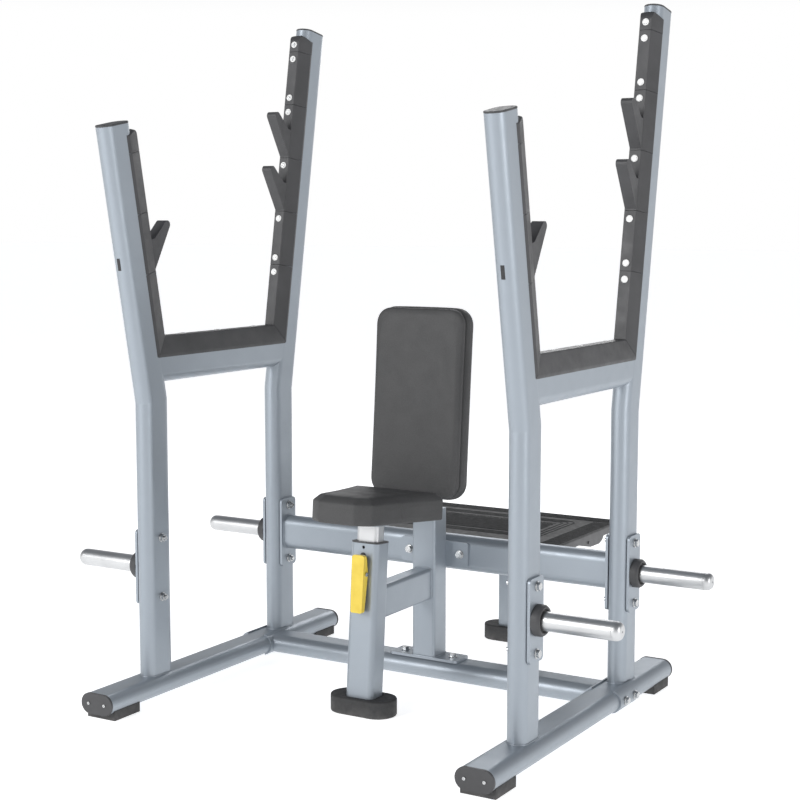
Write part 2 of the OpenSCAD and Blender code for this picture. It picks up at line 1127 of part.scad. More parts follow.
module sleeve_bar(grow = 0)
    on_post()
        linear_extrude(sleeve_length)
            sleeve_outline(grow);

module post_sleeve() {
    color(paint)
    difference() {
        sleeve_bar();
        on_post() {
            translate([0, 0, -past])
                linear_extrude(sleeve_length + 2 * past)
                    sleeve_outline(-3.5);
            translate([0, 0, lock_s])
                rod_y(lock_r + gap, -sleeve_deep, 0);
            translate([0, 0, sleeve_length - peep_drop])
                rod_y(peep_r, -sleeve_deep, 0);
        }
        translate([-100, post_y - 100, -100])
            cube([200, 200, 100 + sleeve_floor]);
    }
}

module post_bush() {
    color(black)
    on_post()
        difference() {
            union() {
                translate([0, 0, sleeve_length])
                    linear_extrude(bush_flange)
                        sleeve_outline(0.5);
                translate([0, 0, sleeve_length - bush_deep])
                    linear_extrude(bush_deep + past)
                        sleeve_outline(-3.5 - gap);
            }
            translate([0, 0, sleeve_length - bush_deep - past])
                linear_extrude(bush_deep + bush_flange + 2 * past)
                    post_outline(slip);
            translate([0, 0, sleeve_length - peep_drop])
                rod_y(peep_r, -sleeve_deep, 0);
        }
}

module rubber_foot(grow = 0)
    linear_extrude(foot_high)
        rotate(90)
            oval(foot_deep + 2 * grow, foot_wide + 2 * grow);

module post_foot() {
    color(rubber)
    difference() {
        translate([0, post_y, 0])
            rubber_foot(post_foot_grow);
        difference() {
            sleeve_bar(gap);
            translate([-100, post_y - 100, -100])
                cube([200, 200, 100 + sleeve_floor]);
        }
    }
}

module seat_post() {
    foot_s = seat_level - post_length;
    color(chrome)
    on_post()
        difference() {
            translate([0, 0, foot_s])
                linear_extrude(post_length)
                    post_outline();
            translate([0, 0, foot_s - past])
                linear_extrude(post_length + 2 * past)
                    post_outline(-tube_wall);
            for (k = [0:4])
                translate([0, 0, lock_s - k * hole_pitch])
                    rod_y(lock_r + slip, -sleeve_deep, 0);
        }
}

seat_screw_x = 60;
seat_screw_y = 75;

module seat_screw_places()
    for (x = [-1, 1], y = [-1, 1])
        translate([x * seat_screw_x, y * seat_screw_y, seat_level])
            rotate([180, 0, 0])
                children();

module seat_plate() {
    color(paint)
    on_post()
        difference() {
            translate([0, 0, seat_level])
                linear_extrude(seat_plate_thick)
                    rounded(160, 200, 10);
            seat_screw_places()
                translate([0, 0, -20])
                    cylinder(r = 3.2, h = 40);
        }
}

// Points of an arc about c from angle a0 to a1
function arc(c, r, a0, a1, steps = 6) =
    [for (k = [0:steps]) let (a = a0 + (a1 - a0) * k / steps) c + r * [cos(a), sin(a)]];

// Right edge of the seat's outline, from front to rear: a chamfered nose, then a flare
seat_forward = 15;
nose_flat = 56;
nose_chamfer = 30;
flare_start = 66;
seat_corner = 22;
function seat_edge() =
    let (f = seat_front_wide / 2, r = seat_rear_wide / 2, h = seat_long / 2)
    concat(
        [[f - nose_flat, -h], [f - 8, -h + nose_chamfer]],
        [for (k = [0:6]) let (t = k / 6)
            [f + (r - f) * pow(t, 1.25), -h + flare_start + (2 * h - flare_start - seat_corner) * t]],
        arc([r - seat_corner, h - seat_corner], seat_corner, 15, 90));

function flip(points) = [for (k = [len(points) - 1:-1:0]) [-points[k][0], points[k][1]]];

module seat_pad() {
    color(black)
    on_post()
        difference() {
            translate([0, -seat_forward, seat_level + seat_plate_thick])
                linear_extrude(seat_thick)
                    polygon(concat(seat_edge(), flip(seat_edge())));
            seat_screw_places()
                translate([0, 0, -seat_plate_thick - 13])
                    cylinder(r = 3.1, h = 20);
        }
}

module seat_screws() {
    color(zinc)
    on_post()
        seat_screw_places()
            pan_screw(6, 3.5, 3, seat_plate_thick + 12);
}

// ---------- seat lock ----------

sleeve_face = -sleeve_deep / 2;
base_thick = 4;
base_wide = 30;
boss_r = 9;
boss_s = 452;
boss_thick = 1.5;
ear_x = 11.5;
ear_thick = 3;
ear_r = 9;
lever_wide = 40;
lever_tip_wide = 37;
lever_low = 292;
lever_high = 456;
lever_front = -63.5;
lever_wall = 3;
axle_r = 4;
rivet_head = 2.8;

// Plate on the sleeve's face, with two ears for the lever's axle and a flat boss at the top
module lever_bracket() {
    low = 330;
    high = 440;
    color(rubber)
    on_post()
        difference() {
            union() {
                translate([0, sleeve_face, (low + high) / 2])
                    rotate([90, 0, 0])
                        linear_extrude(base_thick)
                            rounded(base_wide, high - low, 6);
                translate([0, sleeve_face, boss_s])
                    rotate([90, 0, 0])
                        linear_extrude(boss_thick) {
                            circle(r = boss_r);
                            translate([-boss_r, high - 10 - boss_s])
                                square([2 * boss_r, boss_s - high + 10]);
                        }
                for (x = [-1, 1])
                    translate([x * (ear_x + ear_thick / 2), 0, pivot_s])
                        across(ear_thick) {
                            translate([pivot_q, -ear_r])
                                square([sleeve_face - pivot_q, 2 * ear_r]);
                            translate([pivot_q, 0])
                                circle(r = ear_r);
                        }
            }
            translate([0, pivot_q, pivot_s])
                rod_x(axle_r + gap / 2, -60, 60);
            translate([0, 0, lock_s])
                rod_y(lock_r + gap, -60, 0);
        }
}

module lever_pin() {
    color(zinc)
    on_post()
        translate([0, pivot_q, pivot_s]) {
            rod_x(axle_r, -lever_wide / 2 - 2, lever_wide / 2 + 2);
            for (x = [-1, 1])
                translate([x * (lever_wide / 2 + 0.4 + rivet_head / 2), 0, 0])
                    rod_x(6, -rivet_head / 2, rivet_head / 2);
        }
}

// Lever's side view, widest at the pivot and narrow at the finger end
module lever_side(inset)
    polygon([
        [lever_front + inset, lever_low + inset],
        [lever_front + 15 + inset / 2, lever_low + inset],
        [pivot_q + 10, pivot_s - 16],
        [pivot_q + 10, pivot_s + 6],
        [lever_front + 14, lever_high - inset],
        [lever_front + inset, lever_high - inset]]);

module lever_face(inset) {
    top = lever_wide / 2 - inset;
    tip = lever_tip_wide / 2 - inset;
    polygon(concat(
        arc([tip - 6, lever_low + inset + 6], 6, -90, 0, 4),
        arc([top - 8, lever_high - inset - 8], 8, 0, 90, 4),
        arc([-top + 8, lever_high - inset - 8], 8, 90, 180, 4),
        arc([-tip + 6, lever_low + inset + 6], 6, 180, 270, 4)));
}

module lever_block(inset)
    intersection() {
        across(2 * lever_wide)
            lever_side(inset);
        rotate([90, 0, 0])
            linear_extrude(200, center = true)
                lever_face(inset);
    }

module lever() {
    color(yellow)
    on_post()
        difference() {
            union() {
                difference() {
                    lever_block(0);
                    intersection() {
                        translate([0, 0.5, 0])
                            across(2 * lever_wide)
                                polygon([
                                    [lever_front + lever_wall, lever_low + lever_wall],
                                    [0, lever_low + lever_wall],
                                    [0, lever_high - lever_wall],
                                    [lever_front + lever_wall, lever_high - lever_wall]]);
                        rotate([90, 0, 0])
                            linear_extrude(200, center = true)
                                lever_face(lever_wall);
                    }
                }
                translate([0, pivot_q + 1, lock_s])
                    difference() {
                        translate([-18, 1, -9])
                            cube([36, 3, 18]);
                        translate([-lock_r - 1.5, -1, -10])
                            cube([2 * lock_r + 3, 8, 16]);
                    }
            }
            translate([0, pivot_q, pivot_s])
                rod_x(axle_r + gap, -60, 60);
        }
}

module lock_pin() {
    nose = -23.6;
    head = pivot_q - 3.5;
    color(zinc)
    on_post()
        translate([0, 0, lock_s]) {
            rod_y(lock_r, head - 1, nose);
            rod_y(8, head - 3, head);
        }
}

// Torsion spring on the lever's axle, drawn as closed turns that touch
module lever_spring() {
    wire = 2;
    turns = 7;
    color(zinc)
    on_post()
        translate([-(turns - 1) * wire * 0.48, pivot_q, pivot_s])
            for (k = [0:turns - 1])
                translate([k * wire * 0.96, 0, 0])
                    rotate([0, 90, 0])
                        rotate_extrude($fn = 32)
                            translate([axle_r + gap + wire / 2, 0])
                                circle(d = wire, $fn = 16);
}

// ---------- spotter platform ----------

module deck_outline(inset, r)
    translate([0, deck_front + deck_deep / 2])
        rounded(deck_wide - 2 * inset, deck_deep - 2 * inset, r);

module platform_mat() {
    color(rubber)
    translate([0, 0, deck_height - mat_thick])
        linear_extrude(mat_thick)
            deck_outline(0, 12);
}

// Ear that hangs from the tray's lip over the crossbar's end, with a rivet
ear_side = [[355, 412], [470, 387], [535, 386], [558, 394], [575, 412]];
rivet_r = 5;
rivet_y = 454;
rivet_z = 403;

module tray_ears() {
    ear_x = deck_wide / 2 - 1 - tray_thick;
    for (side = [0, 1])
        mirror([side, 0, 0]) {
            translate([ear_x, 0, 0])
                rotate([90, 0, 90])
                    linear_extrude(tray_thick)
                        polygon(ear_side);
            translate([0, rivet_y, rivet_z])
                rod_x(rivet_r, ear_x + 1, ear_x + tray_thick + 3);
        }
}

module platform_tray() {
    color(black) {
        difference() {
            translate([0, 0, tray_z + tray_thick - tray_lip])
                linear_extrude(tray_lip)
                    deck_outline(1, 11);
            translate([0, 0, tray_z - tray_lip])
                linear_extrude(tray_lip)
                    deck_outline(1 + tray_thick, 8);
        }
        tray_ears();
    }
}

module platform_frame() {
    flange_y = rear_y + tube_wide / 2;
    color(paint)
    difference() {
        union() {
            // Leg
            translate([0, leg_y, sleeve_floor])
                linear_extrude(tray_z - sleeve_floor)
                    rounded(column_wide, 60, column_round);
            // Spine from the upper beam to the leg
            translate([0, flange_y, tray_z - spine_high / 2])
                rotate([-90, 0, 0])
                    linear_extrude(leg_y - flange_y)
                        rounded(60, spine_high, 8);
            // Crossbar under the tray
            translate([0, crossbar_y, tray_z - crossbar_high / 2])
                rotate([90, 0, 90])
                    linear_extrude(deck_wide - 10, center = true)
                        rounded(crossbar_deep, crossbar_high, 12);
            // Bolted flange
            translate([0, flange_y + plate_thick, upper_beam_z])
                rotate([90, 0, 0])
                    linear_extrude(plate_thick)
                        rounded(170, 62, 8);
        }
        translate([0, leg_y, 0])
            linear_extrude(tray_z - tube_wall)
                rounded(column_wide - 2 * tube_wall, 54, column_round - tube_wall);
        translate([0, flange_y + plate_thick, tray_z - spine_high / 2])
            rotate([-90, 0, 0])
                linear_extrude(leg_y - flange_y - plate_thick)
                    rounded(54, spine_high - 2 * tube_wall, 5);
        translate([0, crossbar_y, tray_z - crossbar_high / 2])
            rotate([90, 0, 90])
                linear_extrude(deck_wide, center = true)
                    rounded(crossbar_deep - 2 * tube_wall, crossbar_high - 2 * tube_wall, 9);
        for (x = [-1, 1])
            translate([x * deck_bolt_x, flange_y, upper_beam_z])
                rod_y(bolt_hole_r, -past, 20);
        // Clear of the tray's lip
        difference() {
            translate([-deck_wide, deck_front, tray_z + tray_thick - tray_lip - gap])
                cube([2 * deck_wide, deck_deep, 2 * tray_lip]);
            linear_extrude(2 * deck_height)
                deck_outline(1 + tray_thick + gap, 8);
        }
    }
}

module platform_foot() {
    color(rubber)
    difference() {
        translate([0, leg_y, 0])
            rubber_foot();
        translate([0, leg_y, sleeve_floor])
            linear_extrude(foot_high)
                rounded(column_wide + 2 * gap, 60 + 2 * gap, column_round + gap);
    }
}

rail(-1);  // left_rail
rail(1);  // right_rail
rail_end_caps();
rail_cap_screws();
rail_feet();
front_upright(-1);  // left_front_upright
rear_upright(-1);  // left_rear_upright
front_upright(1);  // right_front_upright
rear_upright(1);  // right_rear_upright
upright_caps();
upright_slot_plugs();
cross_tube(-1);  // left_cross_tube
cross_tube(1);  // right_cross_tube
rear_liner(-1);  // left_rear_liner
rear_hooks(-1);  // left_rear_hooks
front_liner(-1);  // left_front_liner
front_hook(-1);  // left_front_hook
cross_liner(-1);  // left_cross_liner
rear_liner(1);  // right_rear_liner
rear_hooks(1);  // right_rear_hooks
front_liner(1);  // right_front_liner
front_hook(1);  // right_front_hook
cross_liner(1);  // right_cross_liner
liner_screws();
liner_washers();
floor_beam();
rail_saddles();
frame_bolts();
upper_beam();
horn_plates();
horn_bolts();
horn_nuts();
horn(-1, front_y);  // left_front_horn
horn(-1, rear_y);  // left_rear_horn
horn(1, front_y);  // right_front_horn
horn(1, rear_y);  // right_rear_horn
horn_collars();
horn_end_caps();
centre_column();
link_tube();
back_pad();
back_pad_board();
back_pad_brackets();
back_pad_screws();
post_sleeve();
post_bush();
post_foot();
lever_bracket();
platform_mat();
platform_tray();
platform_frame();
platform_foot();
seat_post();
seat_plate();
seat_pad();
seat_screws();
lever();
lever_pin();
lock_pin();
lever_spring();
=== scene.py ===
"""Looks of the seated press bench with bar rack.

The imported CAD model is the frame. Its nodes keep their places and get finished edges and
procedural materials. The pads are made anew, as padded forms with a cloth simulation.
Everything is in metres, in the frame of the CAD model.
"""

import json
import math

import bmesh
import bpy
from mathutils import Matrix, Vector


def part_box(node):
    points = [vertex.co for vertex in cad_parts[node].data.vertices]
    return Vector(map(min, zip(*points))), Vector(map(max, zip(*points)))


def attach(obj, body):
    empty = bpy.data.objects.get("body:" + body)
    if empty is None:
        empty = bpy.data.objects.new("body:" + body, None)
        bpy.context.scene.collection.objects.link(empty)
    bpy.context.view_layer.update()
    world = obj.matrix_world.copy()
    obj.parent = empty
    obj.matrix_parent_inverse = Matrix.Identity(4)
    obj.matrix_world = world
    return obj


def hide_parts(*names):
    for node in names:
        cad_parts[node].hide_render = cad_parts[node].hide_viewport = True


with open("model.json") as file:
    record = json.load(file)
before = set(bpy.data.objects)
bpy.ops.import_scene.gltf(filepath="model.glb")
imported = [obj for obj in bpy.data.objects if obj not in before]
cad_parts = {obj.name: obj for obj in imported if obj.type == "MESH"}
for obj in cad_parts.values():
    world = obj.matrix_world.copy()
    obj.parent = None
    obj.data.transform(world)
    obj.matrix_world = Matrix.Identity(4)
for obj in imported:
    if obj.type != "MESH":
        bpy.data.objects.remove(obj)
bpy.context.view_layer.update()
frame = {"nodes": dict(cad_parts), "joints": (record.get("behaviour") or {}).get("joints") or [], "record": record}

MM = 0.001
RECORD = frame["record"]
NODES = frame["nodes"]
SLOT_OF = {part["node"]: part["material_slot"] for part in RECORD["subparts"]}
BODY_OF = {node: body for body, nodes in RECORD["behaviour"]["bodies"].items() for node in nodes}
JOINTS = {joint["name"]: joint for joint in frame["joints"]}

# ---------------------------------------------------------------- camera, floor and light


def look(obj, target):
    """Turns a light or camera towards a point."""
    obj.rotation_mode = "QUATERNION"
    obj.rotation_quaternion = (Vector(target) - obj.location).to_track_quat("-Z", "Y")


def add_camera():
    """Camera in front and to the right, looking slightly down."""
    azimuth, pitch = math.radians(30.844), math.radians(6.481)
    data = bpy.data.cameras.new("camera")
    data.sensor_width = 36
    data.lens = 72.96
    data.clip_end = 200
    camera = bpy.data.objects.new("camera", data)
    bpy.context.scene.collection.objects.link(camera)
    camera.location = (2.3943, -4.0734, 1.4061)
    level = Vector((math.sin(azimuth), -math.cos(azimuth), 0))
    back = level * math.cos(pitch) + Vector((0, 0, math.sin(pitch)))
    look(camera, camera.location - back)
    bpy.context.scene.camera = camera


def add_area(name, place, target, size, power):
    data = bpy.data.lights.new(name, "AREA")
    data.shape = "RECTANGLE"
    data.size, data.size_y = size
    data.energy = power
    lamp = bpy.data.objects.new(name, data)
    bpy.context.scene.collection.objects.link(lamp)
    lamp.location = place
    look(lamp, target)


def add_world():
    """Pale surroundings that grow dim overhead."""
    world = bpy.data.worlds.new("studio")
    bpy.context.scene.world = world
    world.use_nodes = True
    nodes, links = world.node_tree.nodes, world.node_tree.links
    place = nodes.new("ShaderNodeTexCoord")
    height = nodes.new("ShaderNodeSeparateXYZ")
    links.new(place.outputs["Generated"], height.inputs["Vector"])
    tone = nodes.new("ShaderNodeValToRGB")
    links.new(height.outputs["Z"], tone.inputs["Fac"])
    ramp = tone.color_ramp
    ramp.elements[0].position, ramp.elements[0].color = 0.12, (1.0, 1.0, 1.0, 1)
    ramp.elements[1].position, ramp.elements[1].color = 0.75, (0.20, 0.21, 0.23, 1)
    middle_tone = ramp.elements.new(0.32)
    middle_tone.color = (0.42, 0.43, 0.45, 1)
    links.new(tone.outputs["Color"], nodes["Background"].inputs["Color"])
    nodes["Background"].inputs["Strength"].default_value = 1.0


def add_floor():
    """Plain pale floor that glows a little, so that it stays pale to its far edge."""
    mesh = bpy.data.meshes.new("floor")
    reach = 60.0
    corners = [(-reach, -reach, 0), (reach, -reach, 0), (reach, reach, 0), (-reach, reach, 0)]
    mesh.from_pydata(corners, [], [(0, 1, 2, 3)])
    floor = bpy.data.objects.new("floor", mesh)
    bpy.context.scene.collection.objects.link(floor)
    glow = {"Emission Color": (1, 1, 1, 1), "Emission Strength": 0.70}
    paint = Finish("floor_paint", {"Roughness": 0.8, "Specular IOR Level": 0.1, **glow})
    paint.colour(paint.noise(1.5), (0.93, 0.93, 0.93), (0.96, 0.96, 0.96))
    floor.data.materials.append(paint.material)


def add_lights():
    middle = (0, 0, 0.8)
    add_area("key", (-2.9, -6.2, 3.4), middle, (3.0, 3.0), 245)
    add_area("side", (5.2, -1.4, 2.0), middle, (2.2, 3.0), 72)
    add_area("rim", (-1.5, 4.5, 3.2), middle, (3.0, 2.0), 60)


# ---------------------------------------------------------------- materials


class Finish:
    """A Principled material; patterns use object coordinates in metres."""

    def __init__(self, name, constants):
        self.material = bpy.data.materials.new(name)
        self.material.use_nodes = True
        tree = self.material.node_tree
        self.nodes, self.links = tree.nodes, tree.links
        self.surface = self.nodes["Principled BSDF"]
        for socket, value in constants.items():
            self.surface.inputs[socket].default_value = value
        self.place = self.nodes.new("ShaderNodeTexCoord").outputs["Object"]
        self.normal = None

    def add(self, kind, inputs=None, **settings):
        node = self.nodes.new(kind)
        for key, value in settings.items():
            setattr(node, key, value)
        for key, value in (inputs or {}).items():
            if hasattr(value, "is_output"):
                self.links.new(value, node.inputs[key])
            else:
                node.inputs[key].default_value = value
        return node

    def stretched(self, scale):
        return self.add("ShaderNodeMapping", {"Vector": self.place, "Scale": scale}).outputs["Vector"]

    def noise(self, scale, detail=3.0, stretch=None):
        vector = self.stretched(stretch) if stretch else self.place
        values = {"Vector": vector, "Scale": scale, "Detail": detail}
        return self.add("ShaderNodeTexNoise", values).outputs["Fac"]

    def cells(self, scale, feature):
        values = {"Vector": self.place, "Scale": scale}
        return self.add("ShaderNodeTexVoronoi", values, feature=feature).outputs["Distance"]

    def spread(self, factor, low, high, start=0.3, end=0.7):
        """The factor stretched from start..end, where most noise lies, to low..high."""
        values = {"Value": factor, "From Min": start, "From Max": end, "To Min": low, "To Max": high}
        return self.add("ShaderNodeMapRange", values).outputs["Result"]

    def product(self, one, other):
        return self.add("ShaderNodeMath", {0: one, 1: other}, operation="MULTIPLY").outputs["Value"]

    def mixed(self, factor, first, second):
        node = self.add("ShaderNodeMix", data_type="RGBA")
        self.links.new(factor, node.inputs["Factor"])
        for key, value in (("A", first), ("B", second)):
            socket = next(s for s in node.inputs if s.name == key and s.type == "RGBA")
            if hasattr(value, "is_output"):
                self.links.new(value, socket)
            else:
                socket.default_value = (*value, 1)
        return next(s for s in node.outputs if s.type == "RGBA")

    def tint(self, tone):
        self.links.new(tone, self.surface.inputs["Base Color"])

    def colour(self, factor, first, second):
        self.tint(self.mixed(self.spread(factor, 0.0, 1.0), first, second))

    def rough(self, factor, low, high):
        self.links.new(self.spread(factor, low, high), self.surface.inputs["Roughness"])

    def bump(self, height, strength, distance):
        values = {"Height": height, "Strength": strength, "Distance": distance}
        if self.normal:
            values["Normal"] = self.normal
        self.normal = self.add("ShaderNodeBump", values).outputs["Normal"]
        self.links.new(self.normal, self.surface.inputs["Normal"])

    def low_down(self, start, end):
        """1 on the floor, falling to 0 between two heights."""
        height = self.add("ShaderNodeSeparateXYZ", {"Vector": self.place}).outputs["Z"]
        return self.spread(height, 1.0, 0.0, start, end)


def frame_paint():
    """Metallic grey-blue powder coat: fine flakes, orange peel, a little dust and scuffing low down."""
    paint = Finish("frame_paint", {"Metallic": 0.55, "Coat Weight": 0.10, "Coat Roughness": 0.28})
    flakes = paint.mixed(paint.noise(2600, 1.0), (0.285, 0.318, 0.355), (0.352, 0.392, 0.435))
    dusty = paint.product(paint.low_down(0.02, 0.22), paint.spread(paint.noise(14, 6), 0.0, 0.30))
    paint.tint(paint.mixed(dusty, flakes, (0.30, 0.32, 0.34)))
    paint.rough(paint.noise(22, 5), 0.37, 0.46)
    paint.bump(paint.noise(420, 2), 0.10, 0.0004)
    paint.bump(paint.noise(2600, 1), 0.05, 0.0001)
    return paint.material


def moulded(name, dark, light, roughness, grain):
    """Moulded polymer with a fine spark-eroded grain and faint rub marks."""
    plastic = Finish(name, {"Specular IOR Level": 0.42})
    plastic.colour(plastic.noise(9, 5), dark, light)
    plastic.rough(plastic.noise(30, 4), roughness - 0.06, roughness + 0.08)
    plastic.bump(plastic.cells(grain, "F1"), 0.22, 0.00025)
    plastic.bump(plastic.noise(45, 3, (1, 1, 0.25)), 0.06, 0.0006)
    return plastic.material


def foot_rubber():
    """Matt black rubber with dust near the floor."""
    rubber = Finish("foot_rubber", {"Specular IOR Level": 0.25})
    base = rubber.mixed(rubber.noise(160, 4), (0.038, 0.038, 0.039), (0.058, 0.058, 0.059))
    dust = rubber.product(rubber.low_down(0.0, 0.035), rubber.spread(rubber.noise(35, 6), 0.0, 0.55))
    rubber.tint(rubber.mixed(dust, base, (0.16, 0.155, 0.15)))
    rubber.rough(rubber.noise(60, 4), 0.62, 0.82)
    rubber.bump(rubber.noise(900, 3), 0.35, 0.0004)
    return rubber.material


def bright_chrome():
    """Bright chrome with hairlines round the bar and slight haze."""
    chrome = Finish("horn_chrome", {"Metallic": 1.0})
    chrome.colour(chrome.noise(12, 4), (0.54, 0.545, 0.55), (0.62, 0.625, 0.63))
    hair = chrome.noise(9, 3, (400, 3, 3))
    chrome.rough(hair, 0.33, 0.40)
    chrome.bump(hair, 0.02, 0.00004)
    return chrome.material


def zinc_plate():
    """Bright zinc plating, slightly mottled."""
    zinc = Finish("zinc_steel", {"Metallic": 1.0})
    zinc.colour(zinc.noise(180, 4), (0.44, 0.45, 0.46), (0.62, 0.625, 0.62))
    zinc.rough(zinc.noise(240, 4), 0.14, 0.30)
    zinc.bump(zinc.noise(900, 3), 0.12, 0.0002)
    return zinc.material


def vinyl():
    """Grained upholstery vinyl: pebbled cells over soft creases."""
    skin = Finish("upholstery", {"Specular IOR Level": 0.30})
    pebbles = skin.cells(620, "SMOOTH_F1")
    crowns = skin.spread(pebbles, 0.0, 1.0, 0.1, 0.6)
    base = skin.mixed(crowns, (0.052, 0.052, 0.053), (0.070, 0.070, 0.071))
    wear = skin.spread(skin.noise(7, 6), 0.0, 0.35)
    skin.tint(skin.mixed(wear, base, (0.076, 0.075, 0.074)))
    skin.rough(skin.noise(26, 5), 0.50, 0.64)
    skin.bump(skin.noise(16, 4), 0.10, 0.003)
    skin.bump(pebbles, 0.30, 0.00035)
    skin.bump(skin.noise(2400, 2), 0.12, 0.0001)
    return skin.material


def stained_board():
    """Plywood with a black stain; the grain runs up the board."""
    board = Finish("pad_board", {"Specular IOR Level": 0.3})
    grain = board.noise(12, 8, (26, 26, 1.4))
    board.colour(grain, (0.030, 0.027, 0.025), (0.070, 0.060, 0.052))
    board.rough(grain, 0.50, 0.70)
    board.bump(grain, 0.30, 0.0005)
    return board.material


def tread_rubber():
    """Dark tread with light specks, as recycled rubber has."""
    tread = Finish("tread_rubber", {"Specular IOR Level": 0.3})
    specks = tread.spread(tread.noise(1100, 2), 0.0, 1.0, 0.66, 0.76)
    base = tread.mixed(tread.noise(60, 5), (0.070, 0.070, 0.070), (0.092, 0.092, 0.091))
    tread.tint(tread.mixed(specks, base, (0.15, 0.15, 0.15)))
    tread.rough(tread.noise(80, 4), 0.55, 0.75)
    tread.bump(tread.noise(800, 4), 0.35, 0.0004)
    return tread.material


def satin_coat(name, dark, light, roughness, metallic=0.0):
    """Satin powder coat with orange peel and slight tone changes."""
    coat = Finish(name, {"Metallic": metallic, "Coat Weight": 0.15, "Coat Roughness": 0.3})
    coat.colour(coat.noise(30, 5), dark, light)
    coat.rough(coat.noise(40, 4), roughness - 0.05, roughness + 0.07)
    coat.bump(coat.noise(520, 2), 0.14, 0.0004)
    return coat.material


FINISHES = {
    "frame_paint": frame_paint(),
    "liner_plastic": moulded("liner_plastic", (0.050, 0.050, 0.052), (0.066, 0.066, 0.069), 0.46, 1500),
    "foot_rubber": foot_rubber(),
    "horn_chrome": bright_chrome(),
    "zinc_steel": zinc_plate(),
    "washer_plastic": moulded("washer_plastic", (0.72, 0.72, 0.71), (0.80, 0.80, 0.79), 0.40, 1800),
    "upholstery": vinyl(),
    "pad_board": stained_board(),
    "tread_rubber": tread_rubber(),
    "tray_paint": satin_coat("tray_paint", (0.060, 0.060, 0.063), (0.078, 0.078, 0.081), 0.42),
    "lever_paint": satin_coat("lever_paint", (0.72, 0.52, 0.045), (0.80, 0.60, 0.070), 0.36),
    # Near-black bracket: partly its own dark paint. The narrow strip of it seen between the lever and the sleeve
    # also serves as painted shade there.
    "bracket_paint": satin_coat("bracket_paint", (0.030, 0.030, 0.032), (0.042, 0.042, 0.045), 0.40),
}

# ---------------------------------------------------------------- making pieces


def piece_from(mesh, name, body, slot, replaced=()):
    """Makes an object of a mesh, gives it its finish and fixes it to a body."""
    mesh.name = name
    obj = bpy.data.objects.new(name, mesh)
    bpy.context.scene.collection.objects.link(obj)
    mesh.materials.clear()
    mesh.materials.append(FINISHES[slot])
    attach(obj, body)
    if replaced:
        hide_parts(*replaced)
    return obj


def baked(obj):
    """The object's mesh with its modifiers applied."""
    graph = bpy.context.evaluated_depsgraph_get()
    return bpy.data.meshes.new_from_object(obj.evaluated_get(graph))


def smooth(mesh, angle):
    """Smooth shading with creases where faces meet at more than the angle."""
    mesh.shade_smooth()
    mesh.set_sharp_from_angle(angle=math.radians(angle))


def finish_edges(node, width):
    """Replaces a CAD node by a copy with its sharp edges rounded over by width, in millimetres."""
    work = bmesh.new()
    work.from_mesh(NODES[node].data)
    bmesh.ops.remove_doubles(work, verts=work.verts, dist=0.01 * MM)
    bmesh.ops.dissolve_limit(work, angle_limit=math.radians(0.6), verts=work.verts, edges=work.edges)
    mesh = bpy.data.meshes.new(node)
    work.to_mesh(mesh)
    work.free()
    draft = bpy.data.objects.new("draft", mesh)
    bpy.context.scene.collection.objects.link(draft)
    bevel = draft.modifiers.new("edges", "BEVEL")
    bevel.limit_method = "ANGLE"
    bevel.angle_limit = math.radians(38)
    bevel.width = width * MM
    bevel.segments = 2
    weigh = draft.modifiers.new("normals", "WEIGHTED_NORMAL")
    weigh.keep_sharp = True
    smooth(mesh, 60)
    made = baked(draft)
    bpy.data.objects.remove(draft)
    piece_from(made, node + "_finished", BODY_OF[node], SLOT_OF[node], (node,))


# Rounding of the edges, in millimetres, where it isn't the usual one
USUAL_EDGE = 0.8
EDGES = {
    "rail_end_caps": 1.4, "upright_caps": 1.4, "rail_feet": 2.5, "post_foot": 5, "platform_foot": 5,
    "liner_screws": 0.3, "liner_washers": 0.5, "rail_cap_screws": 0.3, "frame_bolts": 0.5,
    "horn_bolts": 0.5, "horn_nuts": 0.4, "lever": 1.0, "lever_pin": 0.4, "lock_pin": 0.6,
    "platform_tray": 2.0, "platform_mat": 1.2, "horn_collars": 1.5,
}
for side in ("left", "right"):
    EDGES.update({side + part: 1.6 for part in ("_rear_liner", "_front_liner", "_cross_liner")})
    EDGES.update({side + part: 2.4 for part in ("_rear_hooks", "_front_hook")})
AS_CAD = ("lever_spring", "back_pad", "seat_pad")


def loop_mesh(rings, name, cap=True):
    """A closed mesh through rings of points, all with the same count; cap fills both ends."""
    work = bmesh.new()
    made = [[work.verts.new(point) for point in ring] for ring in rings]
    count = len(rings[0])
    for low, high in zip(made, made[1:]):
        for i in range(count):
            j = (i + 1) % count
            work.faces.new((low[i], low[j], high[j], high[i]))
    if cap:
        work.faces.new(list(reversed(made[0])))
        work.faces.new(made[-1])
    else:
        for i in range(count):
            j = (i + 1) % count
            work.faces.new((made[-1][i], made[-1][j], made[0][j], made[0][i]))
    bmesh.ops.recalc_face_normals(work, faces=work.faces)
    mesh = bpy.data.meshes.new(name)
    work.to_mesh(mesh)
    work.free()
    return mesh


def rounded_outline(wide, deep, radius, step=6 * MM):
    """Points round a rectangle with round corners, about one every step."""
    points = []
    arc_steps = 10
    for cx, cy, start in ((1, 1, 0), (-1, 1, 90), (-1, -1, 180), (1, -1, 270)):
        centre = Vector((cx * (wide / 2 - radius), cy * (deep / 2 - radius)))
        for k in range(arc_steps + 1):
            angle = math.radians(start + 90 * k / arc_steps)
            points.append(centre + radius * Vector((math.cos(angle), math.sin(angle))))
    return resampled(points, step)


def oval_outline(wide, deep):
    return rounded_outline(wide, deep, wide / 2 - 0.01 * MM, 4 * MM)


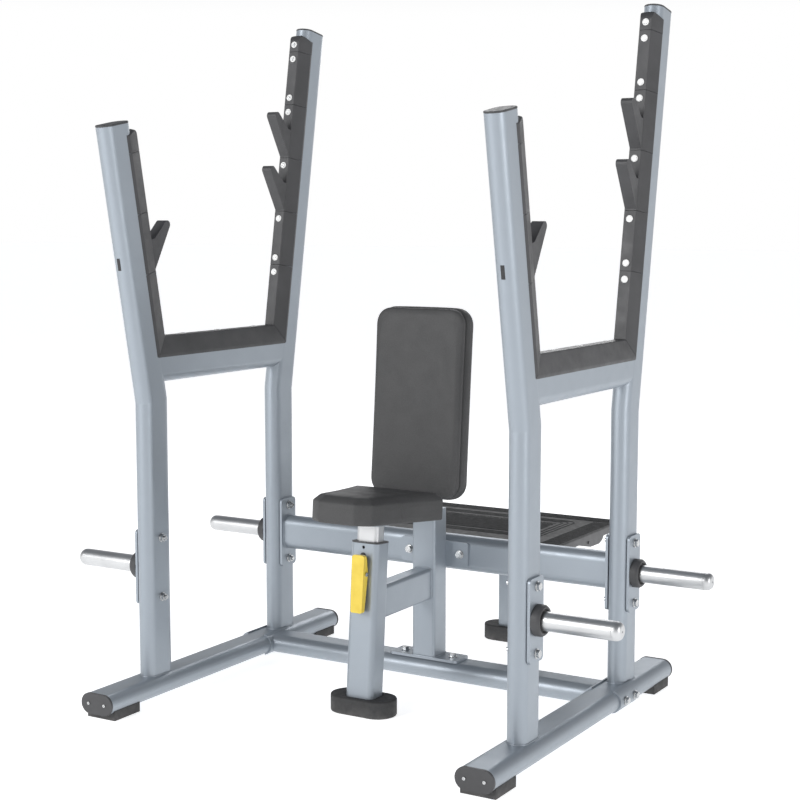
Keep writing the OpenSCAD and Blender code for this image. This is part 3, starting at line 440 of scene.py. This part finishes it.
def resampled(points, step):
    """The same closed outline with points a step apart."""
    lengths = [(points[(i + 1) % len(points)] - points[i]).length for i in range(len(points))]
    total = sum(lengths)
    count = max(8, round(total / step))
    made, i, done = [], 0, 0.0
    for k in range(count):
        want = total * k / count
        while done + lengths[i] < want:
            done += lengths[i]
            i += 1
        share = (want - done) / lengths[i] if lengths[i] else 0
        made.append(points[i].lerp(points[(i + 1) % len(points)], share))
    return made


def inward(points, distance):
    """The outline moved inwards along its own normals."""
    made = []
    for i, point in enumerate(points):
        along = points[(i + 1) % len(points)] - points[i - 1]
        normal = Vector((-along.y, along.x)).normalized()
        made.append(point + normal * distance)
    return made


# ---------------------------------------------------------------- pads

UP = Vector(JOINTS["seat_height"]["axis"])
REAR = Vector((0, UP.z, -UP.y))
SIDE = Vector((1, 0, 0))


def placed(centre, across, along, out):
    """Matrix from pad axes (X across, Y along, Z out of the pad) to the model's frame."""
    turn = Matrix((across, along, out)).transposed()
    return Matrix.Translation(centre) @ turn.to_4x4()


def stuffed(mesh, to_model, voxel, cap, pressure, back_level):
    """Swells a closed pad form with a cloth simulation; no point moves by more than the cap."""
    draft = bpy.data.objects.new("draft", mesh)
    bpy.context.scene.collection.objects.link(draft)
    remesh = draft.modifiers.new("remesh", "REMESH")
    remesh.mode = "VOXEL"
    remesh.voxel_size = voxel
    plain = baked(draft)
    draft.modifiers.clear()
    draft.data = plain
    rest = [v.co.copy() for v in plain.vertices]
    last_frame = 16
    cloth = draft.modifiers.new("cloth", "CLOTH")
    cloth.settings.quality = 5
    cloth.settings.mass = 0.35
    cloth.settings.use_pressure = True
    cloth.settings.uniform_pressure_force = pressure
    cloth.settings.tension_stiffness = 25
    cloth.settings.compression_stiffness = 25
    cloth.settings.bending_stiffness = 2.0
    cloth.settings.effector_weights.gravity = 0
    cloth.point_cache.frame_start = 1
    cloth.point_cache.frame_end = last_frame
    for step in range(1, last_frame + 1):
        bpy.context.scene.frame_set(step)
    swollen = baked(draft)
    draft.modifiers.clear()
    for vertex, start, moved in zip(plain.vertices, rest, swollen.vertices):
        shift = moved.co - start
        if shift.length > cap:
            shift *= cap / shift.length
        vertex.co = start + shift
        vertex.co.z = max(vertex.co.z, back_level)
    bpy.context.scene.frame_set(1)
    relax = draft.modifiers.new("relax", "SMOOTH")
    relax.iterations = 1
    relax.factor = 0.3
    finer = draft.modifiers.new("finer", "SUBSURF")
    finer.levels = 1
    finer.render_levels = 1
    made = baked(draft)
    bpy.data.objects.remove(draft)
    made.transform(to_model)
    made.shade_smooth()
    return made


def box_centre(node):
    low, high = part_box(node)
    return (low + high) / 2


def seat_outline(inset):
    """Seat seen from above: a chamfered nose, a short thigh part, then a flare to the rear."""
    long, front, rear = 342, 107, 157
    nose, tail = -long / 2, long / 2
    half = [
        (0, nose), (front - 50, nose), (front - 8, nose + 30), (front, nose + 66),
        (front + 12, nose + 150), (rear, tail - 22), (rear - 22, tail), (0, tail),
    ]
    right = [Vector(corner) * MM for corner in half]
    left = [Vector((-p.x, p.y)) for p in reversed(right[1:-1])]
    return inward(soft_corners(right + left, 3 * MM), inset)


def soft_corners(corners, reach):
    """Cuts each corner of a closed outline with a short curve, then spaces the points evenly."""
    curve_steps = 4
    points = []
    for i, corner in enumerate(corners):
        before = corners[i - 1] - corner
        after = corners[(i + 1) % len(corners)] - corner
        start = corner + before.normalized() * min(reach, before.length / 2.2)
        end = corner + after.normalized() * min(reach, after.length / 2.2)
        for k in range(curve_steps + 1):
            t = k / curve_steps
            points.append(start * (1 - t) ** 2 + corner * 2 * t * (1 - t) + end * t ** 2)
    return resampled(points, 5 * MM)


def ring_at(outline, height):
    return [Vector((p.x, p.y, height)) for p in outline]


def seat_pad():
    """Wrapped seat cushion: upright sides and a faceted top edge."""
    thick = 76
    # Height above the underside and inset of each ring, in millimetres
    profile = [(0, 3), (3, 0), (57.5, 0), (59, 1), (75, 20), (76, 22)]
    rings = [ring_at(seat_outline(inset * MM), (height - thick / 2) * MM) for height, inset in profile]
    mesh = loop_mesh(rings, "seat_cushion")
    to_model = placed(box_centre("seat_pad"), SIDE, REAR, UP)
    made = stuffed(mesh, to_model, voxel=3 * MM, cap=1.6 * MM, pressure=1.0, back_level=-39 * MM)
    obj = piece_from(made, "seat_cushion", "seat", "upholstery", ("seat_pad",))


def back_pads():
    """Back pad in two wrapped layers with a cove between them."""
    to_model = placed(box_centre("back_pad"), -SIDE, UP, -REAR)
    long, thick = 565, 60
    # Width, length, corner radius, then height above the CAD pad's back face and inset of each
    # ring, in millimetres; the cover wraps the board's edge behind that face
    layers = {
        "back_pad_rear_layer": (
            304, long, 50,
            [(-8, 5), (-4, 1), (0, 0), (24, 0), (28, 2), (30, 6), (31, 12)]),
        "back_pad_front_layer": (
            296, long - 8, 46,
            [(25, 12), (31, 9), (34, 3), (39, 0), (49, 0), (55, 3), (58, 8), (60, 16)]),
    }
    for name, (wide, tall, radius, profile) in layers.items():
        rings = []
        for height, inset in profile:
            outline = rounded_outline(
                (wide - 2 * inset) * MM, (tall - 2 * inset) * MM, (radius - inset) * MM)
            rings.append(ring_at(outline, (height - thick / 2) * MM))
        mesh = loop_mesh(even_rings(rings), name)
        made = stuffed(mesh, to_model, voxel=5 * MM, cap=1.5 * MM, pressure=0.8, back_level=-38 * MM)
        obj = piece_from(made, name, "frame", "upholstery", ("back_pad",))


def even_rings(rings):
    """Resamples rings to the first one's count so that they can be joined."""
    count = len(rings[0])
    made = []
    for ring in rings:
        flat = [Vector((p.x, p.y)) for p in ring]
        total = sum((flat[(i + 1) % len(flat)] - flat[i]).length for i in range(len(flat)))
        again = resampled(flat, total / count)
        made.append(ring_at(again[:count], ring[0].z))
    return made


# ---------------------------------------------------------------- welds


def weld(name, outline, to_model):
    """A rippled weld bead along a closed outline, painted over with the frame's paint."""
    points = resampled(outline, 2.2 * MM)
    radius, sides = 2.6 * MM, 8
    rings = []
    for i, point in enumerate(points):
        along = (points[(i + 1) % len(points)] - points[i - 1]).normalized()
        outwards = Vector((along.y, -along.x, 0))
        swell = radius * (1 + 0.13 * (-1) ** i + 0.06 * math.sin(i * 0.7))
        ring = []
        for k in range(sides):
            angle = 2 * math.pi * k / sides
            offset = outwards * math.cos(angle) + Vector((0, 0, 1)) * math.sin(angle)
            ring.append(to_model @ (Vector((point.x, point.y, 0)) + offset * swell))
        rings.append(ring)
    mesh = loop_mesh(rings, name, cap=False)
    mesh.shade_smooth()
    piece_from(mesh, name, "frame", "frame_paint")


def welds():
    """Beads at the feet of the uprights, the beam's ends, the column and the link tube."""
    tube = oval_outline(58 * MM, 108 * MM)
    quarter = math.radians(90)
    for side in ("left", "right"):
        for end in ("front", "rear"):
            node = "%s_%s_upright" % (side, end)
            low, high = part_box(node)
            axis_y = box_centre("%s_%s_horn" % (side, end)).y
            weld(node + "_weld", tube, Matrix.Translation(((low.x + high.x) / 2, axis_y, low.z)))
    low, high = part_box("upper_beam")
    middle = (low + high) / 2
    to_beam_end = Matrix.Rotation(quarter, 4, "Y") @ Matrix.Rotation(quarter, 4, "Z")
    # Thickness of the beam's end plates and of the column's foot plate
    plate = 8 * MM
    for side, name in ((-1, "left"), (1, "right")):
        face = Matrix.Translation((side * (high.x - plate), middle.y, middle.z))
        weld("upper_beam_%s_weld" % name, tube, face @ to_beam_end)
    foot_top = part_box("centre_column")[0].z + plate
    link_rear, link_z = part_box("link_tube")[1].y, box_centre("link_tube").z
    column = rounded_outline(78 * MM, 76 * MM, 8 * MM, 4 * MM)
    weld("column_weld", column, Matrix.Translation((0, link_rear + 38 * MM, foot_top)))
    link = rounded_outline(58 * MM, 96 * MM, 12 * MM, 4 * MM)
    on_column = Matrix.Translation((0, link_rear, link_z)) @ Matrix.Rotation(quarter, 4, "X")
    weld("link_weld", link, on_column)


# ---------------------------------------------------------------- tread


def rib_loop(name, wide, deep, radius, centre):
    """A raised line that follows a rounded rectangle on the tread."""
    thick, high, slope = 5 * MM, 1.6 * MM, 0.8 * MM
    rings = []
    for inset, z in ((0, 0), (slope, high), (thick - slope, high), (thick, 0)):
        outline = rounded_outline(wide - 2 * inset, deep - 2 * inset, radius - inset, 12 * MM)
        rings.append(ring_at(outline, z))
    mesh = loop_mesh(even_rings(rings), name, cap=False)
    mesh.transform(Matrix.Translation(centre))
    smooth(mesh, 30)
    piece_from(mesh, name, "frame", "foot_rubber")


def block(work, foot, crown):
    """A raised block between two rings of four corners."""
    low, high = [[work.verts.new(corner) for corner in ring] for ring in (foot, crown)]
    for i in range(4):
        j = (i + 1) % 4
        work.faces.new((low[i], low[j], high[j], high[i]))
    work.faces.new(high)
    work.faces.new(list(reversed(low)))


def slab(work, low, high, bottom, top, slope):
    """A raised bar over a rectangle of the tread, with sloping sides."""
    rings = []
    for inset, z in ((0.0, bottom), (slope, top)):
        x0, y0, x1, y1 = low[0] + inset, low[1] + inset, high[0] - inset, high[1] - inset
        rings.append([(x0, y0, z), (x1, y0, z), (x1, y1, z), (x0, y1, z)])
    block(work, *rings)


def stud(work, centre, long, wide, high, turn):
    """A short raised bar with sloping sides, turned about its middle."""
    spin = Matrix.Rotation(math.radians(turn), 3, "Z")
    rings = []
    for inset, z in ((0, 0.0), (0.9 * MM, high)):
        half_x, half_y = long / 2 - inset, wide / 2 - inset
        corners = ((half_x, half_y), (-half_x, half_y), (-half_x, -half_y), (half_x, -half_y))
        rings.append([centre + spin @ Vector((x, y, z)) for x, y in corners])
    block(work, *rings)


def field(work, low, high, level):
    """A low plateau that carries ribs or studs."""
    slab(work, low, high, level, level + 0.5 * MM, 0.3 * MM)


def ribbed(work, low, high, across, pitch, level):
    """A field with ribs, which the tread gives darker rubber as painted shade in the grooves; across is the axis,
    0 or 1, that the ribs follow one another on.
    """
    field(work, low, high, level)
    count = int((high[across] - low[across]) / pitch)
    spare = (high[across] - low[across] - count * pitch) / 2
    margin = 2 * MM
    for k in range(count):
        start, end = list(low), list(high)
        start[across] = low[across] + spare + (k + 0.2) * pitch
        end[across] = low[across] + spare + (k + 0.8) * pitch
        start[1 - across] += margin
        end[1 - across] -= margin
        slab(work, start, end, level + 0.4 * MM, level + 1.9 * MM, 0.7 * MM)


def relief(work, name, slot):
    """A piece made of the raised bars in work."""
    mesh = bpy.data.meshes.new(name)
    work.to_mesh(mesh)
    work.free()
    smooth(mesh, 30)
    piece_from(mesh, name, "frame", slot)


def tread():
    """Ribbed bands round the mat, three thin lines inside them, a ribbed middle and a row of studs."""
    low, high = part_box("platform_mat")
    middle = (low + high) / 2
    deep = high.y - low.y
    level = high.z - 0.1 * MM
    edge, band, gap, band_pitch = 5 * MM, 60 * MM, 8 * MM, 7.5 * MM
    left, right, rear = low.x + edge, high.x - edge, high.y - edge
    half_x, half_y, middle_pitch, stud_strip = 212 * MM, deep / 2 - 150 * MM, 8 * MM, 24 * MM
    middle_rear = middle.y + half_y
    work = bmesh.new()
    for start, end in ((left, left + band), (right - band, right)):
        ribbed(work, (start, low.y + edge), (end, rear - band - gap), 0, band_pitch, level)
    ribbed(work, (left, rear - band), (right, rear), 1, band_pitch, level)
    ribs_rear = middle_rear - stud_strip
    ribbed(work, (-half_x, middle.y - half_y), (half_x, ribs_rear), 0, middle_pitch, level)
    field(work, (-half_x, ribs_rear - 0.5 * MM), (half_x, middle_rear), level)
    # The ribbed fields get the darker foot rubber: painted shade for the grooves between the ribs.
    relief(work, "tread_ribs", "foot_rubber")
    thin_lines(Vector((middle.x, middle.y, level)), deep)
    studs = bmesh.new()
    spacing = 24 * MM
    for column in range(-8, 9):
        place = Vector((middle.x + column * spacing, middle_rear - stud_strip / 2, level + 0.4 * MM))
        stud(studs, place, 17 * MM, 7 * MM, 1.8 * MM, 90 if column % 2 else 30)
    relief(studs, "tread_studs", "tread_rubber")


def thin_lines(centre, deep):
    """Three thin lines, each inside the last; inset is from the mat's front and rear edges."""
    half_wide, inset, pitch, radius, tighter = 262 * MM, 98 * MM, 15 * MM, 30 * MM, 6 * MM
    for k in range(3):
        wide = 2 * (half_wide - k * pitch)
        line_deep = deep - 2 * (inset + k * pitch)
        rib_loop("tread_line_%d" % (k + 1), wide, line_deep, radius - k * tighter, centre)


# ---------------------------------------------------------------- assembly

add_camera()
add_world()
add_floor()
add_lights()
for name in NODES:
    if name in AS_CAD:
        NODES[name].data.materials.clear()
        NODES[name].data.materials.append(FINISHES[SLOT_OF[name]])
    else:
        finish_edges(name, EDGES.get(name, USUAL_EDGE))
seat_pad()
back_pads()
welds()
tread()

view_settings = bpy.context.scene.view_settings
view_settings.view_transform = "Standard"
